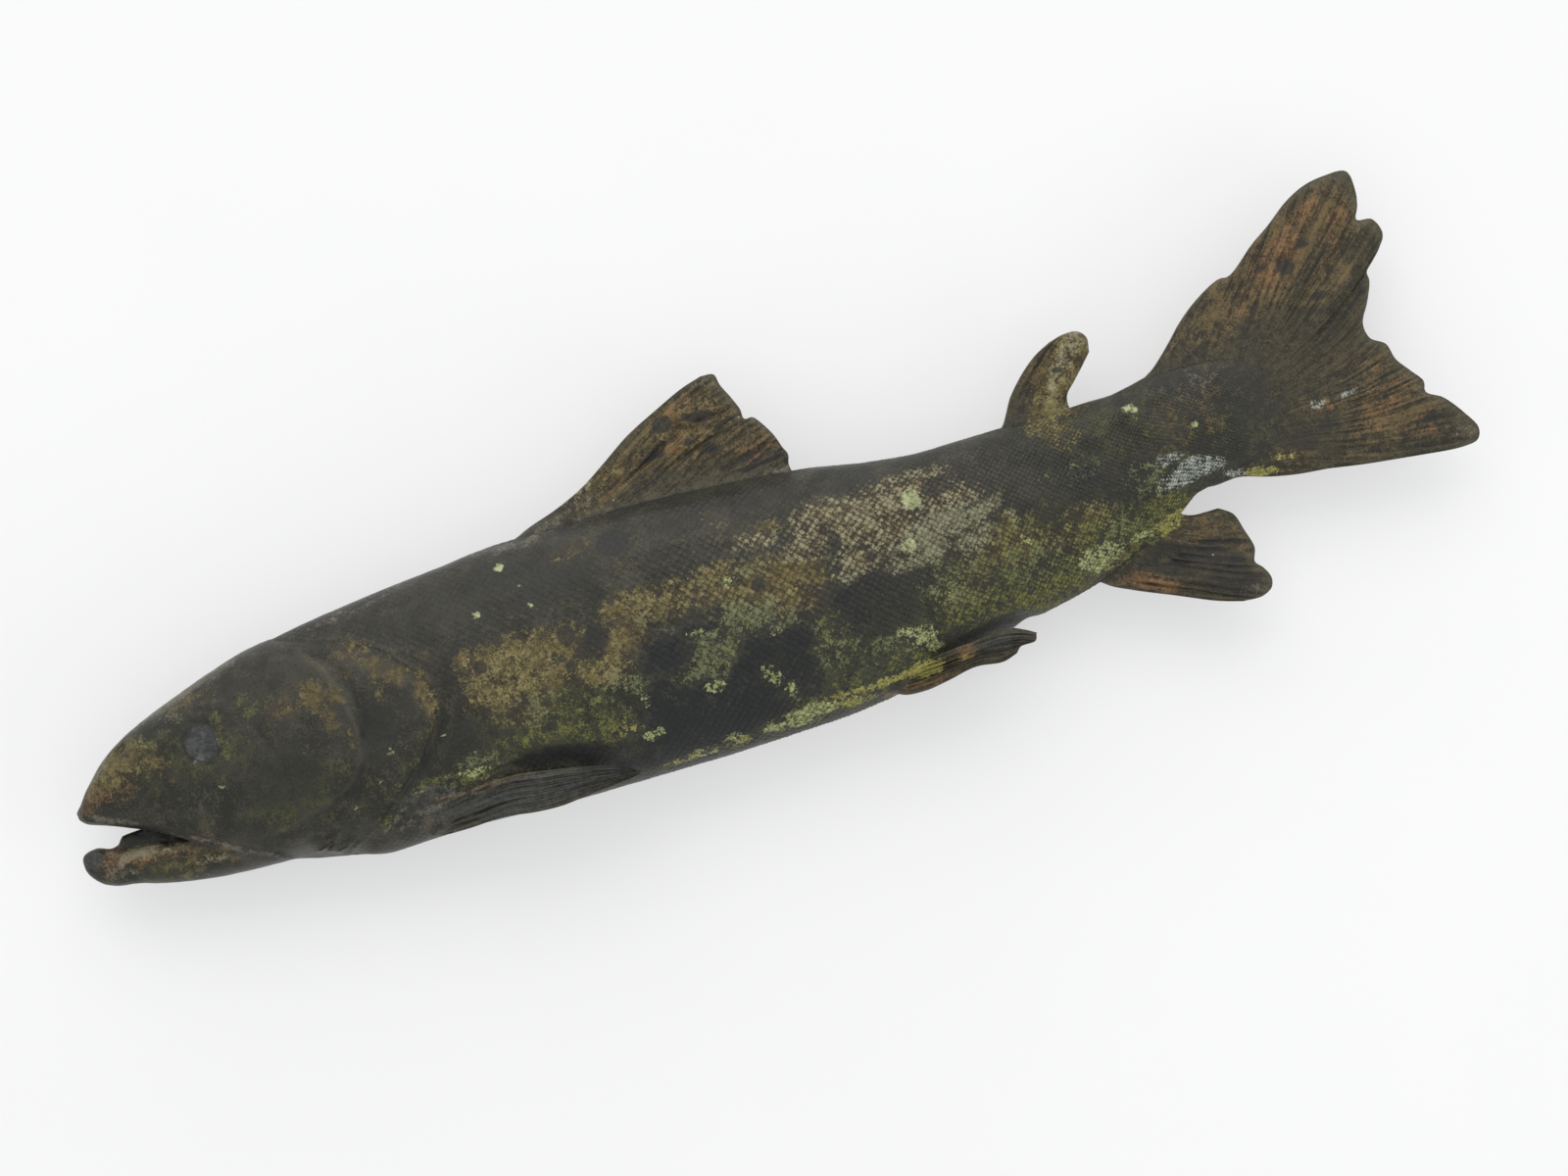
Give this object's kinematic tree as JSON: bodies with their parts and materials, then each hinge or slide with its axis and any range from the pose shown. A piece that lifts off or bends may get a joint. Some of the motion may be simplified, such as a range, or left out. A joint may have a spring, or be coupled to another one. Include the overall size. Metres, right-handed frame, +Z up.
{
  "type": "bronze fish figurine",
  "caption": "Life-size cast trout lying on its side, mouth ajar, with scaled flanks, gill covers, spread rayed fins and a forked, ragged-edged tail.",
  "frame": {"origin": "middle of the fish's length and height in plan, on the plane of the small flat it rests on", "axes": "+X from the snout to the tail, +Y from the belly to the back, +Z up, out of the fish's left side"},
  "size_m": [0.3728, 0.0981, 0.0378],
  "materials": {
    "bronze": "dark brown-black bronze with a dry matte patina, ochre and yellow-green bloom on the scales and rusty brown fins"
  },
  "bodies": {
    "root": {"fish": "bronze"}
  },
  "joints": []
}
